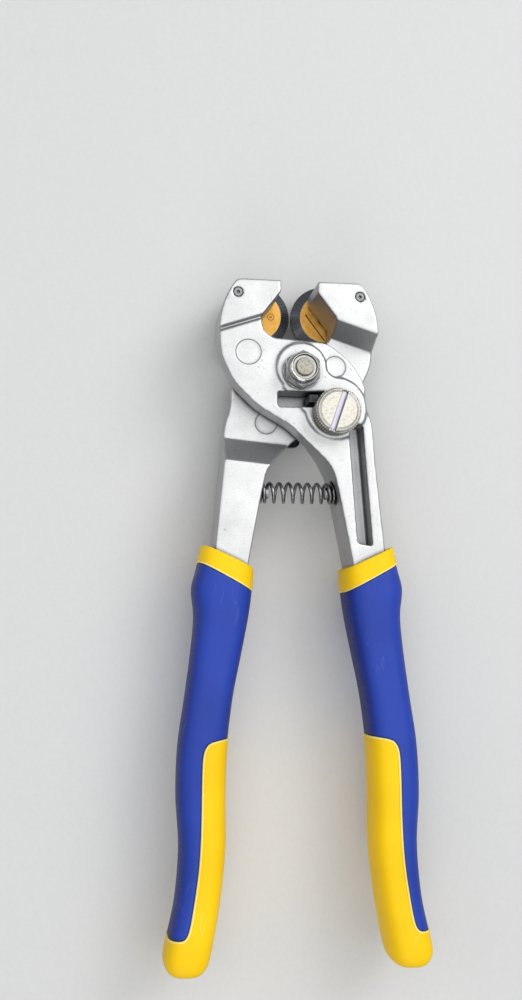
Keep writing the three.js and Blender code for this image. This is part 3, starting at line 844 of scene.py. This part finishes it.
class NIPPERS_OT_grips(bpy.types.Operator):
    """Build the rubber grips, their collars, inner pads and the beads round the pads"""
    bl_idname = "nippers.grips"
    bl_label = "Rubber Grips"

    def execute(self, context):
        given = context.scene.nipper_grip
        blue = tuple(given.blue)
        yellow = tuple(given.yellow)
        blue_rubber = soft_rubber(
            "blue_rubber", blue, tuple(shade(blue, 0.8)), (0.2, 0.26, 0.6), flank_shade=(0.2, 0.25, 0.45))
        dull_yellow = (yellow[0] * 0.93, yellow[1] * 0.88, yellow[2])
        yellow_rubber = soft_rubber("yellow_rubber", yellow, dull_yellow, (0.95, 0.8, 0.3), 0.16)
        bead_rubber = soft_rubber(
            "bead_rubber", (0.93, 0.78, 0.22), (0.86, 0.66, 0.1), (0.95, 0.88, 0.5))
        rise = given.pad_rise / MM
        pad_edge = smooth_line(list(PAD_EDGE))
        for letter, side, body in (("a", 1, BODY_A), ("b", -1, BODY_B)):
            self.collar(letter, side, body, yellow_rubber, given.skin)
            self.grip(letter, side, body, blue_rubber, pad_edge, rise, given.skin)
            self.pad(letter, side, body, yellow_rubber, pad_edge, given.skin)
            loop = surface_loop(pad_edge, side, -rise * 0.9)
            self.bead("pad_bead_" + letter, loop, given.bead, body, bead_rubber)
            loop = surface_loop([(x, y - 0.1) for x, y in COLLAR_BOTTOM], side, -rise)
            self.bead("collar_bead_" + letter, loop, given.bead * 0.75, body, bead_rubber)
        return {"FINISHED"}

    def collar(self, letter, side, body, rubber, skin):
        solid = handle_solid("collar_" + letter, side, PROUD, rubber)
        tool = slab([*COLLAR_TOP, *reversed(COLLAR_BOTTOM)], side)
        solid = cast_skin(cut(solid, tool, "INTERSECT"), skin * 0.8, 3)
        ride(solid, body, "grip_yellow", "grip_collar_" + letter)

    def grip(self, letter, side, body, rubber, pad_edge, rise, skin):
        below = [(x, y - 0.35) for x, y in COLLAR_BOTTOM] + [(60, -61), (60, -220), (5, -220)]
        solid = handle_solid("grip_rubber_" + letter, side, -rise, rubber)
        solid = cut(solid, slab(below, side), "INTERSECT")
        gap = [(x + 0.25, y + 0.25) for x, y in pad_edge] + [(50, -210), (15, -210)]
        solid = cast_skin(cut(solid, slab(gap, side)), skin, 5)
        ride(solid, body, "grip_blue", "grip_" + letter)

    def pad(self, letter, side, body, rubber, pad_edge, skin):
        solid = handle_solid("pad_rubber_" + letter, side, PROUD, rubber)
        tool = slab(list(pad_edge) + [(50, -210), (15, -210)], side)
        solid = cast_skin(cut(solid, tool, "INTERSECT"), skin, 5)
        ride(solid, body, "grip_yellow", "grip_pad_" + letter)

    def bead(self, name, loop, radius, body, rubber):
        ride(round_bar(name, loop, radius, 0.0006, rubber, closed=True), body, "grip_yellow")


class NIPPERS_OT_wheels(bpy.types.Operator):
    """Build the coated cutting wheels with their index marks, screws and washers"""
    bl_idname = "nippers.wheels"
    bl_label = "Cutting Wheels"

    def execute(self, context):
        given = context.scene.nipper_wheel
        oxide = black_oxide("black_oxide_screw")
        washer_steel = plated_steel("washer_steel", (0.6, 0.6, 0.59))
        pin_steel = plated_steel("pin_steel", (0.28, 0.28, 0.28), 0.5, crevice_shade=0.0002)
        ink = black_oxide("index_mark")
        for letter, centre, lever in (("a", WHEEL_A, BODY_A), ("b", WHEEL_B, BODY_B)):
            gold = gold_coating("gold_coating_" + letter, tuple(given.gold), centre)
            rim = ground_rim("ground_rim_" + letter, tuple(given.rim), centre)
            wheel = self.wheel("wheel_" + letter, centre, gold, rim)
            body = f"wheel_{letter}_body"
            ride(wheel, body, "wheel", "cutting_wheel_" + letter)
            self.index_marks(letter, body, ink)
            softened("wheel_screw_" + letter, SCREW_EDGE, oxide, lever, "dark_steel")
            softened("wheel_washer_" + letter, WASHER_EDGE, washer_steel, lever, "steel")
            softened("jaw_set_screw_" + letter, PIN_EDGE, pin_steel, lever, "dark_steel")
        return {"FINISHED"}

    def wheel(self, name, centre, gold, rim):
        profile = (
            (2.37, -5.2), (2.55, -5.4), (8.75, -5.4), (8.9, -5.35), (11.9, -3.55), (12, -3.4),
            (12, -2.4), (11.9, -2.25), (8.9, -0.45), (8.75, -0.4), (2.55, -0.4), (2.37, -0.6),
        )
        obj = lathe(name, profile, centre, gold, rim, segments=128)
        for face in obj.data.polygons:
            reach = (Vector(face.center).xy - centre.xy).length
            face.material_index = 0 if reach < COATING_R * MM else 1
        return flat_faces_stay_flat(obj, 20)

    def index_marks(self, letter, body, ink):
        """Marks on the coated face that tell used edges from fresh ones."""
        if letter == "a":
            for number, radius in enumerate((1.15, 0.35)):
                points = ring_points(-7.1, 24.2, radius, -0.4, 48)
                ring = round_bar(
                    f"index_ring_{number}", points, 0.00011, 0.0002, ink, closed=True, sides=8)
                ride(ring, body, "dark_steel")
        else:
            height = FRONT - 0.4 * MM
            start = Vector((5.4, 25.6, 0)) * MM + Vector((0, 0, height))
            end = Vector((12.4, 16.2, 0)) * MM + Vector((0, 0, height))
            points = [start, (start + end) / 2, end]
            line = round_bar("index_line", points, 0.0002, 0.001, ink, sides=8)
            ride(line, body, "dark_steel")


class NIPPERS_OT_pivot(bpy.types.Operator):
    """Build the pivot bolt with its thread, the lock nut, its nylon ring and the washers"""
    bl_idname = "nippers.pivot"
    bl_label = "Pivot Bolt and Nut"

    def execute(self, context):
        steel = turned_metal("bolt_steel", (0.37, 0.36, 0.32), PIVOT, 0.38, 7000, 0.72)
        nut_steel = plated_steel("nut_steel", (0.5, 0.5, 0.49), 0.24)
        softened("pivot_bolt", BOLT_EDGE, steel, BODY_A, "steel")
        profile = [(0, 20), (2.6, 20)]
        for turn in range(7):
            profile += [(2.62, 20.2 + turn), (3.08, 20.6 + turn), (3.08, 20.75 + turn)]
        profile += [(2.6, 27.15), (2.3, 27.45), (0, 27.45)]
        thread = lathe("bolt_thread", profile, PIVOT, steel, segments=64)
        ride(flat_faces_stay_flat(thread), BODY_A, "steel")
        self.nut(nut_steel)
        softened("nut_washer", PIN_EDGE, nut_steel, BODY_A, "steel")
        repaint(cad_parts["nut_insert"], plain_plastic("nylon", (0.72, 0.7, 0.62), 0.45))
        repaint(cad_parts["pivot_bush"], turned_metal("bronze", (0.5, 0.34, 0.16), PIVOT))
        return {"FINISHED"}

    def nut(self, steel):
        """Hexagon with turned corners, a round collar and a plain stepped bore."""
        points = []
        for i in range(6):
            a = math.pi / 3 * i + math.pi / 2
            corner = NUT_FLATS / math.sqrt(3)
            points.append((corner * math.cos(a), corner * math.sin(a)))
        nut = prism("pivot_nut_finish", points, FRONT + 19.9 * MM, FRONT + 24.3 * MM, steel)
        shell = lathe("shell", (
            (0, 19.9), (5.6, 19.9), (6.5, 20.5), (6.5, 23.4), (5.5, 24.4), (0, 24.4)), PIVOT)
        nut = cut(nut, shell, "INTERSECT")
        collar = lathe("collar", (
            (0, 23), (5.1, 23), (5.1, 25.9), (4.9, 26.4), (4.5, 26.7), (4.25, 26.65),
            (4.1, 26.4), (0, 26.4)), PIVOT, steel, segments=72)
        nut = cut(nut, collar, "UNION")
        bore = lathe("bore", (
            (0, 18), (3.15, 18), (3.15, 24.7), (4.1, 24.7), (4.1, 28), (0, 28)), PIVOT, segments=64)
        nut = cut(nut, bore)
        repaint(nut, steel)
        ride(flat_faces_stay_flat(nut, 28), BODY_A, "steel", "pivot_nut")


class NIPPERS_OT_lock(bpy.types.Operator):
    """Build the knurled lock knob, its shaft, cam, clip, washer and the stop lug"""
    bl_idname = "nippers.lock"
    bl_label = "Thickness Lock"

    def execute(self, context):
        given = context.scene.nipper_knob
        nickel = turned_metal("knob_nickel", tuple(given.tone), KNOB, 0.38)
        # Painted shade: a dark material for the knob's side showing between the knurl teeth.
        crevice_shade = black_oxide("knurl_grime")
        worn = tuple(c * 0.8 for c in given.tone)
        tooth_nickel = turned_metal("knurl_nickel", worn, KNOB, dust=0.8)
        slot = turned_metal("slot_nickel", (0.6, 0.585, 0.7), KNOB, 0.45, dust=0.2)
        radius = KNOB_R - given.tooth / MM * 0.707
        head = lathe("lock_knob_finish", (
            (0, 0.8), (2.8, 0.8), (3, 1), (3, 19.9), (radius - 0.3, 19.9), (radius, 20.2),
            (radius, 25.55), (radius - 0.35, 26.05), (radius - 0.6, 26.1), (radius - 0.75, 26.0),
            (radius - 0.95, 26.05), (radius - 1.3, 26.25), (0, 26.3),
        ), KNOB, nickel, slot, segments=128)
        turn = Matrix.Rotation(math.radians(KNOB_SLOT_TURN), 3, "Z")
        wide = KNOB_SLOT_HALF
        ends = ((-9, -wide), (9, -wide), (9, wide), (-9, wide))
        corners = [turn @ Vector((*end, 0)) for end in ends]
        points = [(p.x + KNOB.x / MM, p.y + KNOB.y / MM) for p in corners]
        head = cut(head, prism("slot", points, FRONT + KNOB_SLOT_FLOOR * MM, FRONT + 30 * MM))
        repaint(head, nickel, slot, crevice_shade)
        low = FRONT + (KNOB_SLOT_FLOOR + 0.02) * MM
        for face in head.data.polygons:
            reach = (Vector(face.center).xy - KNOB.xy).length
            if abs(face.center.z - low) < 0.05 * MM and abs(face.normal.z) > 0.9:
                face.material_index = 1
            elif reach > 6.9 * MM and face.center.z < FRONT + 25.4 * MM:
                # Knob side under the knurl: painted shade in the valleys between the teeth.
                face.material_index = 2
            else:
                face.material_index = 0
        ride(flat_faces_stay_flat(head, 28), "lock_body", "knob", "lock_knob")
        teeth = knurl("knob_knurl", given.teeth, radius * MM, 4.9 * MM, given.tooth, KNOB,
                      FRONT + 22.9 * MM, tooth_nickel)
        ride(teeth, "lock_body", "knob")
        steel = plated_steel("cam_steel", (0.5, 0.5, 0.5), 0.32)
        oxide = black_oxide("clip_oxide")
        softened("lock_cam", SCREW_EDGE, steel, "lock_body", "steel")
        softened("lock_clip", PIN_EDGE, oxide, "lock_body", "dark_steel")
        softened("knob_washer", WASHER_EDGE, steel, BODY_A, "spring")
        softened("stop_lug", LUG_EDGE, oxide, BODY_B, "dark_steel")
        return {"FINISHED"}


class NIPPERS_OT_spring(bpy.types.Operator):
    """Build the return spring and the pegs it sits on"""
    bl_idname = "nippers.spring"
    bl_label = "Return Spring"

    def execute(self, context):
        given = context.scene.nipper_spring
        wire = plated_steel("spring_wire", (0.3, 0.3, 0.31), 0.28)
        half = SPRING_REACH
        closed = SPRING_CLOSED
        total = given.turns + 2 * closed
        pitch_closed = given.wire / MM * 2.1
        points = []
        steps = int(total * 40)
        for i in range(steps + 1):
            t = total * i / steps
            if t < closed:
                x = -half + pitch_closed * t
            elif t > total - closed:
                x = half - pitch_closed * (total - t)
            else:
                u = (t - closed) / given.turns
                x = -half + pitch_closed * closed + (2 * half - 2 * pitch_closed * closed) * u
            a = 2 * math.pi * t + 0.6
            points.append((
                x * MM, (SPRING_Y + SPRING_R * math.cos(a)) * MM, MIDDLE + SPRING_R * MM * math.sin(a)))
        coil = round_bar("return_coil", points, given.wire, 0.0005, wire, sides=12)
        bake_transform(coil)
        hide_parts("return_spring")
        steel = plated_steel("peg_steel", (0.55, 0.55, 0.54))
        for letter, body in (("a", BODY_A), ("b", BODY_B)):
            softened("spring_peg_" + letter, PEG_EDGE, steel, body, "steel")
        return {"FINISHED"}


class NIPPERS_OT_guide(bpy.types.Operator):
    """Build the depth guide, its clamp screw and washer"""
    bl_idname = "nippers.guide"
    bl_label = "Depth Guide"

    def execute(self, context):
        oxide = black_oxide("guide_oxide")
        steel = plated_steel("guide_steel", (0.6, 0.6, 0.58))
        softened("depth_guide", SCREW_EDGE, oxide, "guide_body", "dark_steel")
        softened("guide_washer", WASHER_EDGE, steel, "guide_screw_body", "steel")
        softened("guide_screw", SCREW_EDGE, steel, "guide_screw_body", "steel")
        teeth = knurl("guide_screw_knurl", 44, 4.65 * MM, 2.2 * MM, 0.0004, GUIDE_SCREW,
                      FRONT - 9.8 * MM, steel)
        ride(teeth, "guide_screw_body", "steel")
        return {"FINISHED"}


class NIPPERS_OT_stage(bpy.types.Operator):
    """Lay the floor, hang the lights and aim the camera"""
    bl_idname = "nippers.stage"
    bl_label = "Stage"

    def execute(self, context):
        given = context.scene.nipper_stage
        floor_paint = plain_plastic("floor_paint", tuple(given.floor), 0.75, 0.97)
        low = CAD_BOX[0][2] - 0.0004
        mesh = bpy.data.meshes.new("floor")
        mesh.from_pydata([(-3, -3, low), (3, -3, low), (3, 3, low), (-3, 3, low)], [], [(0, 1, 2, 3)])
        place("floor", mesh, floor_paint)
        for name, where, size, share in LIGHTS:
            self.light(name, where, size, given.key * share)
        world = bpy.data.worlds.new("studio")
        world.use_nodes = True
        world.node_tree.nodes["Background"].inputs["Color"].default_value = (0.9, 0.93, 1, 1)
        world.node_tree.nodes["Background"].inputs["Strength"].default_value = 0.3
        context.scene.world = world
        context.scene.view_settings.view_transform = "Standard"
        self.camera(context)
        return {"FINISHED"}

    def light(self, name, where, size, power):
        data = bpy.data.lights.new(name, "AREA")
        data.shape = "DISK"
        data.size = size
        data.energy = power
        obj = bpy.data.objects.new(name, data)
        bpy.context.scene.collection.objects.link(obj)
        obj.location = where
        aim = Vector((0, -0.08, 0)) - Vector(where)
        obj.rotation_euler = aim.to_track_quat("-Z", "Y").to_euler()

    def camera(self, context):
        data = bpy.data.cameras.new("camera")
        data.sensor_fit = "VERTICAL"
        data.sensor_height = 36
        data.lens = 39.6
        data.clip_start = 0.01
        data.clip_end = 20
        obj = bpy.data.objects.new("camera", data)
        context.scene.collection.objects.link(obj)
        right = Vector((0.98882, -0.0013, 0.14908))
        down = Vector((0.0162, -0.99311, -0.11605))
        ahead = Vector((0.14821, 0.11717, -0.98199))
        turn = Matrix((right, -down, -ahead)).transposed()
        eye = Vector((-0.0675, -0.0863, FRONT + 0.3759))
        obj.matrix_world = Matrix.Translation(eye) @ turn.to_4x4()
        context.scene.camera = obj


class NIPPERS_PT_panel(bpy.types.Panel):
    """Buttons for every group of pieces"""
    bl_idname = "NIPPERS_PT_panel"
    bl_label = "Tile Nippers"
    bl_space_type = "VIEW_3D"
    bl_region_type = "UI"
    bl_category = "Nippers"

    def draw(self, context):
        scene = context.scene
        groups = (
            (NIPPERS_OT_castings, scene.nipper_casting), (NIPPERS_OT_grips, scene.nipper_grip),
            (NIPPERS_OT_wheels, scene.nipper_wheel), (NIPPERS_OT_lock, scene.nipper_knob),
            (NIPPERS_OT_spring, scene.nipper_spring), (NIPPERS_OT_stage, scene.nipper_stage),
            (NIPPERS_OT_pivot, None), (NIPPERS_OT_guide, None),
        )
        for operator, settings in groups:
            box = self.layout.box()
            box.operator(operator.bl_idname)
            if settings:
                for name in settings.bl_rna.properties.keys():
                    if name not in {"rna_type", "name"}:
                        box.prop(settings, name)


SETTINGS = {
    "nipper_casting": NipperCastingSettings,
    "nipper_grip": NipperGripSettings,
    "nipper_wheel": NipperWheelSettings,
    "nipper_knob": NipperKnobSettings,
    "nipper_spring": NipperSpringSettings,
    "nipper_stage": NipperStageSettings,
}
OPERATORS = (
    NIPPERS_OT_castings, NIPPERS_OT_grips, NIPPERS_OT_wheels, NIPPERS_OT_pivot,
    NIPPERS_OT_lock, NIPPERS_OT_spring, NIPPERS_OT_guide, NIPPERS_OT_stage,
)


def register():
    for group in SETTINGS.values():
        bpy.utils.register_class(group)
    for name, group in SETTINGS.items():
        setattr(bpy.types.Scene, name, PointerProperty(type=group))
    for operator in OPERATORS:
        bpy.utils.register_class(operator)
    bpy.utils.register_class(NIPPERS_PT_panel)


def unregister():
    bpy.utils.unregister_class(NIPPERS_PT_panel)
    for operator in reversed(OPERATORS):
        bpy.utils.unregister_class(operator)
    for name, group in SETTINGS.items():
        delattr(bpy.types.Scene, name)
        bpy.utils.unregister_class(group)


def main():
    register()
    bpy.ops.nippers.castings()
    bpy.ops.nippers.grips()
    bpy.ops.nippers.wheels()
    bpy.ops.nippers.pivot()
    bpy.ops.nippers.lock()
    bpy.ops.nippers.spring()
    bpy.ops.nippers.guide()
    bpy.ops.nippers.stage()


if __name__ == "__main__":
    main()
